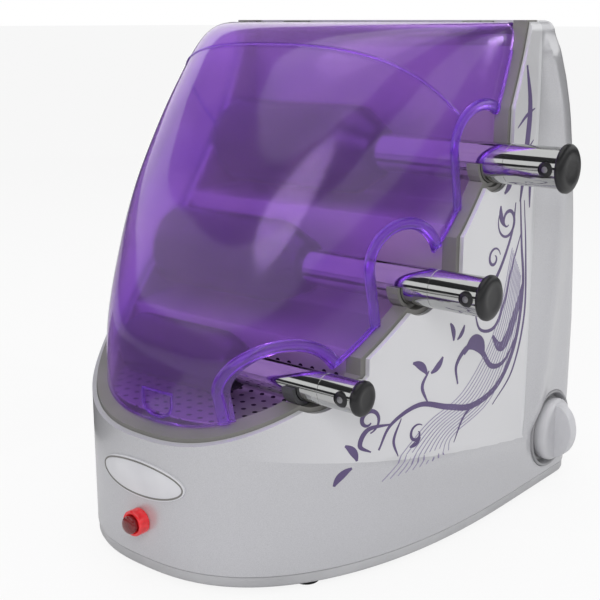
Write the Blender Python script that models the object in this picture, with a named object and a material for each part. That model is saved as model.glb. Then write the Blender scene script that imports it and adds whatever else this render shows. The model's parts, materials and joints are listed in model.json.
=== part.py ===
# Heated roller station: a lidded heating chamber that carries three thermal rollers.
# Sizes are in millimetres and are turned to metres by the constant mm.
# Frame: the nose faces -Y, the roller handles and the knob are on +X, +Z is up.
import math
import bpy
import bmesh
from mathutils import Matrix, Vector

mm = 0.001
gap = 0.3                      # clearance kept between pieces that touch on the real object

# ---- driving dimensions (mm) ----
halfWidth = 137.0              # housing, from its middle plane to the side
noseTip = -175.0               # foremost point of the housing
straightFrom = 80.0            # the curved nose ends here and the sides run straight
rearFace = 178.0               # back wall
rearCorner = 26.0              # plan radius of the rear corners
noseFullness = 2.5             # exponent of the superellipse of the nose
topHeight = 360.0
trayBottom = 4.0
traySeam = 12.4                # joint between the tray and the shell
wall = 3.0                     # moulded walls
flangeDepth = 3.0              # height of the grey rim band
linerInset = 3.3
cavityInset = 14.0
lidInset = 10.5
lidWall = 2.4
hingeY, hingeZ = 80.5, 356.5
lidHalfTop = 118.0

# the middle plane of the housing stands left of the origin, because the handles reach out to +X
middleX = -27.0
middleY = 4.7

# right-hand and left-hand edge of the housing, nose to roof, as (y, z)
rimLine = [(-176.0, 99.5), (-150.0, 113.5), (-126.0, 126.5), (-105.0, 140.0), (-84.0, 155.0),
           (-54.0, 178.5), (-28.0, 200.0), (-6.0, 221.0), (20.0, 254.0), (38.0, 281.0),
           (50.0, 303.0), (61.0, 331.0), (67.0, 350.0), (69.5, topHeight)]
# rear outline of the housing, roof to tray, as (y, z)
rearLine = [(112.0, topHeight), (124.0, 352.0), (134.0, 340.0), (146.0, 318.0), (156.0, 290.0),
            (164.0, 255.0), (170.0, 215.0), (174.5, 175.0), (rearFace, 130.0)]
# foremost points of the lid by height, as (z, y)
lidFront = [(90.0, -164.5), (115.0, -164.5), (150.0, -162.5), (175.0, -157.0), (200.0, -148.5),
            (225.0, -138.5), (250.0, -125.5), (275.0, -108.5), (300.0, -89.0), (320.0, -70.5),
            (335.0, -55.0), (346.0, -40.0), (353.0, -27.0), (357.0, -14.0), (358.5, 0.0)]

# rollers: axis place (y, z), barrel radius, barrel ends, cylinder end, tube radius, cap radius and face
rollers = {
    "top": dict(y=33.0, z=266.4, barrel=33.0, left=-98.0, full=17.0, right=41.0, tube=13.7,
                cap=16.2, face=191.0, notch=17.0, riser=48.0, cradle=(122.0, 131.0),
                scallop=(33.0, 274.0, 27.0), socket=-121.0),
    "middle": dict(y=-42.0, z=192.8, barrel=30.0, left=-95.0, full=3.0, right=34.0, tube=12.8,
                   cap=14.5, face=180.0, notch=16.0, riser=-6.0, cradle=(110.0, 119.0),
                   scallop=(-42.0, 203.0, 25.5), socket=-110.0),
    "bottom": dict(y=-117.0, z=138.0, barrel=21.5, left=-60.0, full=16.0, right=34.0, tube=10.4,
                   cap=11.2, face=139.0, notch=14.0, riser=-87.0, cradle=(83.0, 92.0),
                   scallop=(-123.0, 132.0, 27.0), socket=-75.8),
}
capThickness = 5.0
knobPlace = (131.0, 48.0)      # knob axis (y, z) on the right-hand side
buttonPlace = (-2.0, 38.5)     # button axis (x, z) on the nose
inletPlace = (-55.0, 48.0)     # power inlet (x, z) on the back


for old in list(bpy.data.objects):
    bpy.data.objects.remove(old)


def makeMaterial(name, colour, roughness, metallic=0.0, alpha=1.0):
    material = bpy.data.materials.new(name)
    material.use_nodes = True
    shader = material.node_tree.nodes["Principled BSDF"]
    shader.inputs["Base Color"].default_value = (*colour, 1.0)
    shader.inputs["Roughness"].default_value = roughness
    shader.inputs["Metallic"].default_value = metallic
    shader.inputs["Alpha"].default_value = alpha
    return material


finishes = {
    "pearl": ((0.57, 0.57, 0.59), 0.35, 0.0), "grey": ((0.18, 0.17, 0.17), 0.45, 0.0),
    "darkGrey": ((0.05, 0.05, 0.055), 0.5, 0.0), "black": ((0.012, 0.012, 0.014), 0.4, 0.0),
    "rubber": ((0.02, 0.02, 0.02), 0.8, 0.0), "purple": ((0.22, 0.09, 0.47), 0.1, 0.0),
    "chrome": ((0.8, 0.8, 0.82), 0.08, 1.0), "steel": ((0.5, 0.5, 0.5), 0.35, 1.0),
    "aluminium": ((0.6, 0.6, 0.6), 0.4, 1.0), "brass": ((0.6, 0.42, 0.16), 0.35, 1.0),
    "red": ((0.5, 0.02, 0.025), 0.25, 0.0), "ceramic": ((0.75, 0.72, 0.66), 0.6, 0.0),
    "white": ((0.72, 0.72, 0.74), 0.3, 0.0), "lead": ((0.08, 0.06, 0.05), 0.6, 0.0),
}


def placed(x, y, z):
    """Housing coordinates in mm to world coordinates in metres."""
    return Vector(((x + middleX) * mm, (y + middleY) * mm, z * mm))


def addObject(name, mesh, finish, origin=None, cutter=False):
    """Make an object from a bmesh in housing mm; origin (mm) is where its own origin goes."""
    centre = placed(*origin) if origin else placed(0.0, 0.0, 0.0)
    bmesh.ops.transform(mesh, verts=mesh.verts, matrix=Matrix.Translation(
        placed(0.0, 0.0, 0.0) - centre) @ Matrix.Scale(mm, 4))
    bmesh.ops.recalc_face_normals(mesh, faces=mesh.faces)
    data = bpy.data.meshes.new(name)
    mesh.to_mesh(data)
    mesh.free()
    thing = bpy.data.objects.new(name, data)
    thing.location = centre
    bpy.context.scene.collection.objects.link(thing)
    if cutter:
        thing.hide_render = True
        thing.display_type = "WIRE"
        return thing
    data.shade_smooth()
    data.set_sharp_from_angle(angle=math.radians(35.0))
    colour, roughness, metallic = finishes[finish]
    data.materials.append(makeMaterial(name, colour, roughness, metallic, 0.6 if finish == "purple" else 1.0))
    return thing


def combine(thing, other, operation="DIFFERENCE"):
    step = thing.modifiers.new(operation.lower(), "BOOLEAN")
    step.operation = operation
    step.solver = "EXACT"
    step.object = other
    return thing


# ---- shapes ----
def planOutline(inset, segments=26, rearInset=None):
    """Plan of the housing seen from above: a full nose, straight sides and round rear corners."""
    rearInset = inset if rearInset is None else rearInset
    points = []
    power = 2.0 / noseFullness
    for i in range(segments + 1):
        angle = math.pi * i / segments
        c, s = math.cos(angle), math.sin(angle)
        x = -(halfWidth - inset) * math.copysign(abs(c) ** power, c)
        points.append((x, straightFrom - (straightFrom - noseTip - inset) * abs(s) ** power))
    radius = max(rearCorner - inset, 2.0)
    for side in (1.0, -1.0):
        for i in range(5):
            turn = math.pi / 2.0 * (i if side > 0.0 else 4 - i) / 4
            points.append((side * (halfWidth - inset - radius + radius * math.cos(turn)),
                           rearFace - rearInset - radius + radius * math.sin(turn)))
    return points


def prism(points, low, high, axis):
    """Extrude a closed outline: axis Z takes (x, y) points, axis X takes (y, z) points."""
    mesh = bmesh.new()
    if axis == "Z":
        corners = [mesh.verts.new((a, b, low)) for a, b in points]
        travel = (0.0, 0.0, high - low)
    elif axis == "X":
        corners = [mesh.verts.new((low, a, b)) for a, b in points]
        travel = (high - low, 0.0, 0.0)
    else:
        corners = [mesh.verts.new((a, low, b)) for a, b in points]
        travel = (0.0, high - low, 0.0)
    face = mesh.faces.new(corners)
    grown = bmesh.ops.extrude_face_region(mesh, geom=[face])
    moved = [item for item in grown["geom"] if isinstance(item, bmesh.types.BMVert)]
    bmesh.ops.translate(mesh, verts=moved, vec=travel)
    return mesh


def turned(profile, steps=32, ring=False, axis="X", at=(0.0, 0.0, 0.0)):
    """Turn a profile of (along, radius) points about an axis; a ring profile is a closed loop."""
    mesh = bmesh.new()
    points = [mesh.verts.new((along, 0.0, radius)) for along, radius in profile]
    edges = [mesh.edges.new(pair) for pair in zip(points, points[1:])]
    if ring:
        edges.append(mesh.edges.new((points[-1], points[0])))
    bmesh.ops.spin(mesh, geom=points + edges, cent=(0, 0, 0), axis=(1, 0, 0), angle=2 * math.pi,
                   steps=steps, use_merge=True)
    bmesh.ops.remove_doubles(mesh, verts=mesh.verts, dist=0.0005)
    turns = {"X": Matrix.Identity(4), "Y": Matrix.Rotation(math.pi / 2.0, 4, "Z"),
             "Z": Matrix.Rotation(-math.pi / 2.0, 4, "Y")}
    bmesh.ops.transform(mesh, verts=mesh.verts, matrix=Matrix.Translation(at) @ turns[axis])
    return mesh


def block(low, high, bevel=0.0):
    mesh = bmesh.new()
    bmesh.ops.create_cube(mesh, size=1.0)
    size = [b - a for a, b in zip(low, high)]
    middle = [(a + b) / 2.0 for a, b in zip(low, high)]
    bmesh.ops.scale(mesh, vec=size, verts=mesh.verts)
    bmesh.ops.translate(mesh, vec=middle, verts=mesh.verts)
    if bevel:
        bmesh.ops.bevel(mesh, geom=mesh.edges, offset=bevel, segments=1, profile=0.5, affect="EDGES")
    return mesh


def shifted(line, distance):
    """Move an open line of (y, z) points sideways, to its right-hand side."""
    moved = []
    for i, point in enumerate(line):
        before, after = line[max(i - 1, 0)], line[min(i + 1, len(line) - 1)]
        along = Vector((after[0] - before[0], after[1] - before[1])).normalized()
        moved.append((point[0] + along.y * distance, point[1] - along.x * distance))
    return moved


def tubeAlong(name, route, radius, finish, smooth=14):
    """A round lead or rod along a smooth route of mm points, with filled caps."""
    anchors = [Vector(point) for point in route]
    anchors = [anchors[0] * 2 - anchors[1]] + anchors + [anchors[-1] * 2 - anchors[-2]]
    spans = len(anchors) - 3
    points = []
    for i in range(smooth + 1):
        where = min(i / smooth * spans, spans - 1e-6)
        k, t = int(where), where - int(where)
        a, b, c, d = anchors[k:k + 4]
        points.append(0.5 * (2 * b + (c - a) * t + (2 * a - 5 * b + 4 * c - d) * t * t
                             + (3 * b - a - 3 * c + d) * t ** 3))
    data = bpy.data.curves.new(name, "CURVE")
    data.dimensions = "3D"
    data.bevel_depth = radius * mm
    data.bevel_resolution = 2
    data.use_fill_caps = True
    spline = data.splines.new("POLY")
    spline.points.add(len(points) - 1)
    for knot, point in zip(spline.points, points):
        knot.co = (*(placed(*point)), 1.0)
    colour, roughness, metallic = finishes[finish]
    data.materials.append(makeMaterial(name, colour, roughness, metallic))
    thing = bpy.data.objects.new(name, data)
    bpy.context.scene.collection.objects.link(thing)
    return thing


# ---- casing ----
def notchCutter(name, key, grow):
    """Half-round rest for a handle, open upwards and back to its riser."""
    spec = rollers[key]
    radius = spec["notch"] + grow
    points = [(spec["y"] + radius * math.cos(a), spec["z"] + radius * math.sin(a))
              for a in (math.pi + math.pi * i / 12 for i in range(13))]
    riser = spec["riser"] + grow
    if riser > spec["y"] + radius + 0.5:
        points.append((riser, spec["z"]))
    points.append((max(riser, spec["y"] + radius), spec["z"] + 70.0))
    points.append((spec["y"] - radius, spec["z"] + 70.0))
    return addObject(name, prism(points, spec["cradle"][0] - 22.0, 200.0, "X"), None, cutter=True)


def solidOf(name, plan, side):
    """Cutter that is the meeting of a plan prism and a side prism."""
    body = addObject(name, plan, None, cutter=True)
    other = addObject(name + "_side", side, None, cutter=True)
    return combine(body, other, "INTERSECT")


def makeShell():
    edge = shifted(rimLine, flangeDepth + gap)[:-1]
    outline = [(noseTip - 5.0, edge[0][1] - 3.2)] + edge + [(rimLine[-1][0] + 1.0, topHeight)]
    outline += rearLine + [(rearFace, traySeam + gap), (noseTip - 5.0, traySeam + gap)]
    shell = addObject("housing_shell", prism(planOutline(0.0), 0.0, 400.0, "Z"), "pearl")
    side = addObject("cut_shell_side", prism(outline, -160.0, 160.0, "X"), None, cutter=True)
    combine(shell, side, "INTERSECT")
    back = shifted(rearLine, wall)
    hollow = [(-300.0, -20.0), (-300.0, 420.0), (84.5, 420.0), (84.5, topHeight - wall)]
    hollow += [(back[0][0], topHeight - wall)] + back[1:] + [(rearFace - wall, -20.0)]
    combine(shell, solidOf("cut_shell_hollow", prism(planOutline(wall), -20.0, 430.0, "Z"),
                           prism(hollow, -160.0, 160.0, "X")))
    for key in rollers:
        combine(shell, notchCutter("cut_shell_notch_" + key, key, flangeDepth + gap))
    knobHole = turned([(120.0, 0.0), (120.0, 31.0), (150.0, 31.0), (150.0, 0.0)], 24,
                      at=(0.0, *knobPlace))
    combine(shell, addObject("cut_knob_hole", knobHole, None, cutter=True))
    buttonHole = turned([(-200.0, 0.0), (-200.0, 7.6), (-150.0, 7.6), (-150.0, 0.0)], 20, axis="Y",
                        at=(buttonPlace[0], 0.0, buttonPlace[1]))
    combine(shell, addObject("cut_button_hole", buttonHole, None, cutter=True))
    combine(shell, addObject("cut_rear_opening", block((-92.0, 150.0, 24.0), (92.0, 200.0, 120.0)),
                             None, cutter=True))
    return shell


def makeTray():
    tray = addObject("base_tray", prism(planOutline(0.6), trayBottom, traySeam, "Z"), "pearl")
    combine(tray, addObject("cut_tray_hollow", prism(planOutline(4.0), trayBottom + 2.6, 60.0, "Z"),
                            None, cutter=True))
    for row in range(6):
        low = (-54.0, -70.0 + 18.0 * row, 0.0)
        combine(tray, addObject("cut_vent_%d" % row, block(low, (54.0, low[1] + 6.0, 20.0)), None, cutter=True))
    for x, y in footPlaces:
        hole = turned([(0.0, 0.0), (0.0, 2.4), (12.0, 2.4), (12.0, 0.0)], 16, axis="Z", at=(x, y, 0.0))
        combine(tray, addObject("cut_foot_hole", hole, None, cutter=True))
    return tray


footPlaces = [(-88.0, -112.0), (88.0, -112.0), (-108.0, 146.0), (108.0, 146.0)]
footNames = ["front_left", "front_right", "rear_left", "rear_right"]


def makeFeet():
    for (x, y), place in zip(footPlaces, footNames):
        top = trayBottom - gap
        foot = [(0.0, 2.6), (0.0, 8.0), (0.8, 9.0), (top, 9.0), (top, 2.0), (2.6, 2.0), (2.6, 2.6)]
        addObject("foot_" + place, turned(foot, 16, ring=True, axis="Z", at=(x, y, 0.0)), "rubber")
        screw = [(0.6, 0.0), (0.6, 2.2), (2.3, 2.2), (2.3, 1.6), (13.0, 1.6), (13.0, 0.0)]
        addObject("foot_screw_" + place, turned(screw, 8, axis="Z", at=(x, y, 0.0)), "steel")


def makeLiner():
    low = shifted(rimLine, flangeDepth)
    band = rimLine[:-1] + [(rimLine[-1][0] - 0.6, topHeight - 2.5)] + list(reversed(low[:-1]))
    liner = addObject("chamber_liner", prism(planOutline(0.0), 0.0, 400.0, "Z"), "grey")
    combine(liner, addObject("cut_flange_side", prism(band, -160.0, 160.0, "X"), None, cutter=True), "INTERSECT")
    inner = shifted(rimLine, 1.0)
    basin = [(-200.0, 82.0), (-200.0, inner[0][1])] + inner[:-1] + [(70.0, topHeight), (84.0, topHeight)]
    basin += [(84.0, 178.0), (-12.0, 118.0), (-90.0, 82.0)]
    combine(liner, solidOf("cut_basin", prism(planOutline(linerInset), 0.0, 400.0, "Z"),
                           prism(basin, -160.0, 160.0, "X")), "UNION")
    cavity = [(-300.0, 85.0), (-300.0, 420.0), (81.0, 420.0), (81.0, 179.8), (-13.0, 121.2), (-91.0, 85.0)]
    combine(liner, solidOf("cut_cavity", prism(planOutline(cavityInset), 0.0, 430.0, "Z"),
                           prism(cavity, -160.0, 160.0, "X")))
    for key in rollers:
        combine(liner, notchCutter("cut_liner_notch_" + key, key, 0.0))
    room = block((-lidHalfTop - 3.0, 60.0, hingeZ - 6.0), (lidHalfTop + 3.0, 100.0, 400.0))
    combine(liner, addObject("cut_hinge_room", room, None, cutter=True))
    return liner


# step plate that carries the heat to the rollers, as (y, z)
stepLine = [(-170.0, 111.5), (-90.0, 111.5), (-84.5, 154.5), (-6.5, 154.5), (-4.0, 227.5), (71.0, 227.5),
            (76.0, 250.0), (77.5, 342.0)]


def makePlates():
    sheet = stepLine + list(reversed(shifted(stepLine, 1.2)))
    plate = addObject("heat_plate", prism(planOutline(cavityInset + 0.8), 0.0, 400.0, "Z"), "aluminium")
    combine(plate, addObject("cut_plate_side", prism(sheet, -160.0, 160.0, "X"), None, cutter=True), "INTERSECT")
    lower = [(-166.0, 90.0), (-96.0, 90.0), (-12.0, 128.0), (74.0, 182.0), (74.0, 214.0)]
    sheet = lower + list(reversed(shifted(lower, 0.8)))
    shield = addObject("heat_shield", prism(planOutline(cavityInset + 4.0), 0.0, 400.0, "Z"), "steel")
    combine(shield, addObject("cut_shield_side", prism(sheet, -160.0, 160.0, "X"), None, cutter=True), "INTERSECT")


def makeElements():
    places = {"top": (33.0, 219.0, 92.0, 18.0), "middle": (-45.0, 146.0, 84.0, 16.0),
              "bottom": (-126.0, 102.5, 48.0, 11.0)}
    for key, (y, z, half, spread) in places.items():
        bend = [(half + spread * math.sin(a), y - spread * math.cos(a), z)
                for a in (math.pi * i / 6 for i in range(7))]
        route = [(-half, y - spread, z), (0.0, y - spread, z)] + bend + [(0.0, y + spread, z), (-half, y + spread, z)]
        tubeAlong("heating_element_" + key, route, 3.2, "steel", 16)


# ---- rollers ----
def makeRoller(key):
    spec = rollers[key]
    y, z, tube = spec["y"], spec["z"], spec["tube"]
    axis = (0.0, y, z)
    left, right, radius = spec["left"], spec["right"], spec["barrel"]
    boreEnd = right - 28.0
    stub = 5.0
    barrel = [(left, stub + gap), (left, radius - 3.0), (left + 0.9, radius - 0.9), (left + 3.0, radius),
              (spec["full"], radius), (spec["full"] + 3.0, radius - 0.6), (right - 4.0, tube + 7.0),
              (right, tube + 4.0), (right, tube + gap), (boreEnd, tube + gap), (boreEnd, stub + gap)]
    addObject("roller_barrel_" + key, turned(barrel, 24, ring=True, at=axis), "black", axis)
    end = spec["face"] - capThickness - gap
    pipe = [(boreEnd + gap, tube - 1.5), (boreEnd + gap, tube), (end, tube), (end, tube - 1.5)]
    handle = addObject("handle_tube_" + key, turned(pipe, 20, ring=True, at=axis), "chrome", axis)
    studX = end - 7.0
    hole = turned([(-tube - 5.0, 0.0), (-tube - 5.0, 5.2), (-2.0, 5.2), (-2.0, 0.0)], 12, axis="Y",
                  at=(studX, y, z))
    combine(handle, addObject("cut_stud_hole_" + key, hole, None, cutter=True))
    stud = [(-tube - 0.6, 0.0), (-tube - 0.3, 3.2), (-tube + 0.5, 4.9), (-tube + 3.6, 4.9), (-tube + 3.6, 0.0)]
    addObject("handle_stud_" + key, turned(stud, 12, axis="Y", at=(studX, y, z)), "black", axis)
    face = spec["face"]
    plug = tube - 1.5 - gap
    cap = [(face, 0.0), (face - 0.4, spec["cap"] * 0.55), (face - 1.2, spec["cap"] - 1.4),
           (face - 2.2, spec["cap"]), (face - capThickness + 0.8, spec["cap"]),
           (face - capThickness, spec["cap"] - 0.8), (face - capThickness, plug), (end - 1.6, plug), (end - 1.6, 0.0)]
    addObject("end_cap_" + key, turned(cap, 20, at=axis), "black", axis)
    axle = [(spec["socket"] + 3.0, 0.0), (spec["socket"] + 3.0, stub - 0.6), (spec["socket"] + 3.6, stub),
            (left + 26.0, stub), (left + 26.0, 0.0)]
    addObject("stub_axle_" + key, turned(axle, 12, at=axis), "steel", axis)


def makeRests(key):
    spec = rollers[key]
    y, z = spec["y"], spec["z"]
    start = spec["socket"]
    cup = [(start, 0.0), (start, 11.0), (start + 9.0, 11.0), (start + 10.0, 10.0), (start + 10.0, 5.4),
           (start + 2.4, 5.4), (start + 2.4, 0.0)]
    addObject("roller_socket_" + key, turned(cup, 16, at=(0.0, y, z)), "darkGrey")
    inside, outside = spec["tube"] + 0.5, spec["notch"] - gap
    arc = [math.pi + math.pi * i / 12 for i in range(13)]
    points = [(y + outside * math.cos(a), z + outside * math.sin(a)) for a in arc]
    points += [(y + inside * math.cos(a), z + inside * math.sin(a)) for a in reversed(arc)]
    addObject("handle_cradle_" + key, prism(points, *spec["cradle"], "X"), "darkGrey")


# ---- lid ----
def lidSkin():
    """Bubble surface, ring by ring: the nose plan leans back and closes into the top."""
    mesh = bmesh.new()
    rings = []
    segments = 22
    power = 2.0 / noseFullness
    for z, front in lidFront:
        drop = max(0.0, z - 345.0) / (lidFront[-1][0] - 345.0)
        half = halfWidth - lidInset - (halfWidth - lidInset - lidHalfTop) * (1.0 - math.sqrt(1.0 - drop ** 2))
        ring = [(-half, 77.0, z)]
        for i in range(segments + 1):
            angle = math.pi * i / segments
            c, s = math.cos(angle), math.sin(angle)
            ring.append((-half * math.copysign(abs(c) ** power, c), 74.0 - (74.0 - front) * abs(s) ** power, z))
        ring.append((half, 77.0, z))
        rings.append([mesh.verts.new(point) for point in ring])
    for below, above in zip(rings, rings[1:]):
        for i in range(len(below) - 1):
            mesh.faces.new((below[i], below[i + 1], above[i + 1], above[i]))
    top = rings[-1]
    last = len(top) - 1
    for i in range(last // 2):
        if i + 1 == last - i - 1:
            mesh.faces.new((top[i], top[i + 1], top[last - i]))
        else:
            mesh.faces.new((top[i], top[i + 1], top[last - i - 1], top[last - i]))
    return mesh


def makeLid():
    lid = addObject("lid", lidSkin(), "purple", (0.0, hingeY, hingeZ))
    thick = lid.modifiers.new("thickness", "SOLIDIFY")
    thick.thickness = lidWall * mm
    thick.offset = -1.0
    thick.use_even_offset = False
    edge = shifted(rimLine, -0.45)
    under = [(-300.0, 0.0), (-300.0, edge[0][1] - 66.0)] + edge + [(edge[-1][0], 420.0), (300.0, 420.0), (300.0, 0.0)]
    for side, name in ((-1.0, "left"), (1.0, "right")):
        reach = sorted((side * 200.0, side * (lidHalfTop + 1.0)))
        combine(lid, addObject("cut_lid_edge_" + name, prism(under, *reach, "X"), None, cutter=True))
    front = [(-300.0, 0.0), (-300.0, edge[0][1] - 66.0)] + edge[:-3] + [(75.0, 330.0), (75.0, 0.0)]
    combine(lid, addObject("cut_lid_lower", prism(front, -lidHalfTop - 2.0, lidHalfTop + 2.0, "X"), None, cutter=True))
    for key, spec in rollers.items():
        cy, cz, radius = spec["scallop"]
        round_ = [(cy + radius * math.cos(a), cz + radius * math.sin(a))
                  for a in (math.pi * i / 12 for i in range(13))]
        round_ += [(cy - radius + 5.0, cz - 60.0), (cy + radius, cz - 60.0)]
        combine(lid, addObject("cut_scallop_" + key, prism(round_, 30.0, 200.0, "X"), None, cutter=True))
    return lid


def makeHinges():
    axis = (0.0, hingeY, hingeZ)
    for side, name in ((-1.0, "left"), (1.0, "right")):
        x = side * 84.0
        pin = [(x - 17.0, 0.0), (x - 17.0, 1.2), (x + 17.0, 1.2), (x + 17.0, 0.0)]
        addObject("hinge_pin_" + name, turned(pin, 8, at=axis), "steel")
        for owner, low, high, leafY in (("lid", x - 7.5, x + 7.5, (hingeY - 22.0, hingeY - 2.0)),
                                        ("housing", x + 8.0, x + 17.0, (hingeY + 2.0, hingeY + 22.0))):
            knuckle = [(low, 1.5), (low, 3.0), (high, 3.0), (high, 1.5)]
            leaf = addObject("hinge_leaf_%s_%s" % (owner, name), turned(knuckle, 12, ring=True, at=axis),
                             "steel", axis if owner == "lid" else None)
            top = hingeZ - 1.6 if owner == "lid" else topHeight - wall - gap
            strap = block((low, leafY[0], top - 1.2), (high, leafY[1], top))
            combine(leaf, addObject("cut_strap_%s_%s" % (owner, name), strap, None, cutter=True), "UNION")


# ---- controls and electrics ----
def makeKnob():
    y, z = knobPlace
    at = (0.0, y, z)
    bezel = [(130.6, 6.0), (130.6, 30.7), (138.0, 30.7), (138.6, 30.0), (138.6, 29.0), (133.0, 26.6), (133.0, 6.0)]
    addObject("knob_bezel", turned(bezel, 24, ring=True, at=at), "darkGrey")
    disc = [(133.6, 3.6), (133.6, 22.0), (134.4, 24.0), (140.5, 24.6), (143.0, 23.6), (144.0, 21.5), (144.2, 0.0),
            (142.0, 0.0), (142.0, 3.6)]
    knob = addObject("knob", turned(disc, 24, ring=True, at=at), "white", at)
    arch = [(143.0 + 15.0 * math.sin(a), z - 21.5 * math.cos(a)) for a in (math.pi * i / 14 for i in range(15))]
    grip = prism(arch, y - 5.0, y + 5.0, "Y")
    combine(knob, addObject("cut_grip", grip, None, cutter=True), "UNION")
    spindle = [(112.0, 0.0), (112.0, 3.0), (141.6, 3.0), (141.6, 0.0)]
    addObject("knob_spindle", turned(spindle, 16, at=at), "brass", at)
    body = addObject("thermostat_body", block((96.0, y - 17.0, z - 17.0), (130.2, y + 17.0, z + 17.0), 2.0), "ceramic")
    bore = turned([(111.0, 0.0), (111.0, 3.4), (140.0, 3.4), (140.0, 0.0)], 16, at=at)
    combine(body, addObject("cut_thermostat_bore", bore, None, cutter=True))


def makeButton():
    x, z = buttonPlace
    at = (x, 0.0, z)
    collar = [(-167.0, 6.6), (-167.0, 7.3), (-175.6, 7.3), (-175.6, 8.8), (-182.6, 8.8), (-183.6, 7.8), (-183.6, 6.6)]
    addObject("button_collar", turned(collar, 20, ring=True, axis="Y", at=at), "red")
    button = [(-188.0, 0.0), (-187.6, 4.6), (-186.6, 6.1), (-172.0, 6.1), (-172.0, 0.0)]
    addObject("power_button", turned(button, 20, axis="Y", at=at), "red", (x, -188.0, z))
    switch = addObject("switch_body", block((x - 10.0, -166.5, z - 10.0), (x + 10.0, -138.0, z + 10.0), 1.0), "black")
    bore = turned([(-170.0, 0.0), (-170.0, 5.0), (-160.0, 5.0), (-160.0, 0.0)], 20, axis="Y", at=at)
    combine(switch, addObject("cut_switch_bore", bore, None, cutter=True))
    lamp = [(-168.4, 0.0), (-168.0, 2.2), (-160.4, 2.6), (-160.4, 0.0)]
    addObject("indicator_lamp", turned(lamp, 10, axis="Y", at=at), "red")


def makeBadge():
    oval = [(-2.0 + 39.0 * math.cos(a), 68.5 + 13.0 * math.sin(a)) for a in (2 * math.pi * i / 24 for i in range(24))]
    plate = addObject("badge_plate", prism(oval, -200.0, -140.0, "Y"), "white")
    combine(plate, solidOf("cut_badge_outer", prism(planOutline(-1.3), 0.0, 200.0, "Z"),
                           prism([(-200.0, 10.0), (0.0, 10.0), (0.0, 150.0), (-200.0, 150.0)], -80.0, 80.0, "X")),
            "INTERSECT")
    combine(plate, addObject("cut_badge_inner", prism(planOutline(-gap), 0.0, 200.0, "Z"), None, cutter=True))


def makeRearCover():
    cover = addObject("rear_cover", block((-91.7, rearFace - 3.0, 24.3), (91.7, rearFace, 119.7)), "pearl")
    x, z = inletPlace
    combine(cover, addObject("cut_inlet_hole", block((x - 15.0, 150.0, z - 11.0), (x + 15.0, 200.0, z + 11.0)), None, cutter=True))
    for row in range(5):
        low = (0.0, 150.0, 44.0 + 13.0 * row)
        combine(cover, addObject("cut_rear_vent_%d" % row, block(low, (70.0, 200.0, low[2] + 5.0)), None, cutter=True))
    inlet = addObject("power_inlet", block((x - 14.7, 154.0, z - 10.7), (x + 14.7, rearFace + 0.6, z + 10.7)), "black")
    combine(inlet, addObject("cut_inlet_socket", block((x - 11.7, 160.0, z - 7.7), (x + 11.7, 200.0, z + 7.7)), None, cutter=True))
    for i, (px, pz) in enumerate(((-7.0, -2.0), (7.0, -2.0), (0.0, 2.5))):
        blade = block((x + px - 1.0, 157.0, z + pz - 2.0), (x + px + 1.0, 174.0, z + pz + 2.0))
        combine(inlet, addObject("cut_inlet_blade_%d" % i, blade, None, cutter=True), "UNION")


def makeElectrics():
    addObject("terminal_block", block((-22.0, 66.0, trayBottom + 2.6 + gap), (22.0, 84.0, 24.0), 1.0), "ceramic")
    x, z = inletPlace
    tubeAlong("lead_inlet_to_block", [(x, 151.5, z), (x, 144.0, z), (-44.0, 114.0, 26.0), (-20.0, 99.0, 17.0),
                                      (-12.0, 90.0, 16.0), (-12.0, 86.0, 16.0)], 2.6, "lead")
    tubeAlong("lead_block_to_switch", [(-8.0, 64.0, 16.0), (-8.0, 58.0, 16.0), (-10.0, 40.0, 14.0), (-16.0, -30.0, 12.5),
                                       (-8.0, -100.0, 16.0), (-3.0, -122.0, 33.0), (-2.0, -130.0, 38.0), (-2.0, -136.5, 38.0)], 2.6, "lead")
    tubeAlong("lead_block_to_thermostat", [(12.0, 86.0, 16.0), (12.0, 91.0, 16.0), (22.0, 104.0, 17.0), (52.0, 124.0, 26.0),
                                           (78.0, 131.0, 44.0), (86.0, 131.0, 46.0), (94.5, 131.0, 46.0)], 2.6, "lead")


def makeAll():
    makeShell()
    makeTray()
    makeFeet()
    makeLiner()
    makePlates()
    makeElements()
    for key in rollers:
        makeRoller(key)
        makeRests(key)
    makeLid()
    makeHinges()
    makeKnob()
    makeButton()
    makeBadge()
    makeRearCover()
    makeElectrics()


makeAll()
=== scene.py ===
# Heated roller station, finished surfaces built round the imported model
import json
import math
import bpy
import bmesh
from mathutils import Matrix, Vector


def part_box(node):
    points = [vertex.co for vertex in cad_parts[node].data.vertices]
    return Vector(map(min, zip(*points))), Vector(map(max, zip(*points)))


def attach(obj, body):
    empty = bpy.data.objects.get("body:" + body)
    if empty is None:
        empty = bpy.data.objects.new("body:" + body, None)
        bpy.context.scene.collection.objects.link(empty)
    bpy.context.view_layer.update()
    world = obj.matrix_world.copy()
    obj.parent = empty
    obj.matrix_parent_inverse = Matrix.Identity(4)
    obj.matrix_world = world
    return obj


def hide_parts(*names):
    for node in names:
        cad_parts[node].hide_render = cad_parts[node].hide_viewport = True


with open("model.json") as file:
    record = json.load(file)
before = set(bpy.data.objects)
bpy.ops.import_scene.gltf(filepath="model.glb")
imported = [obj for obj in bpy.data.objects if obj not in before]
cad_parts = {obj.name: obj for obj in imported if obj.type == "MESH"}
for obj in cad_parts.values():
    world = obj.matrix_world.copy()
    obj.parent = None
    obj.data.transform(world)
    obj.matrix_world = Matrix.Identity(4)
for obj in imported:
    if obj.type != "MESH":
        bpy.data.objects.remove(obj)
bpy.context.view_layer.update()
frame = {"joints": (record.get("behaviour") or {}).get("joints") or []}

mm = 0.001
shellLow, shellHigh = (Vector(corner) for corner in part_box("housing_shell"))
halfWidth = (shellHigh.x - shellLow.x) / 2.0 / mm
noseTip = -175.0  # foremost point of the housing, from the middle of the station, in mm
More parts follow.
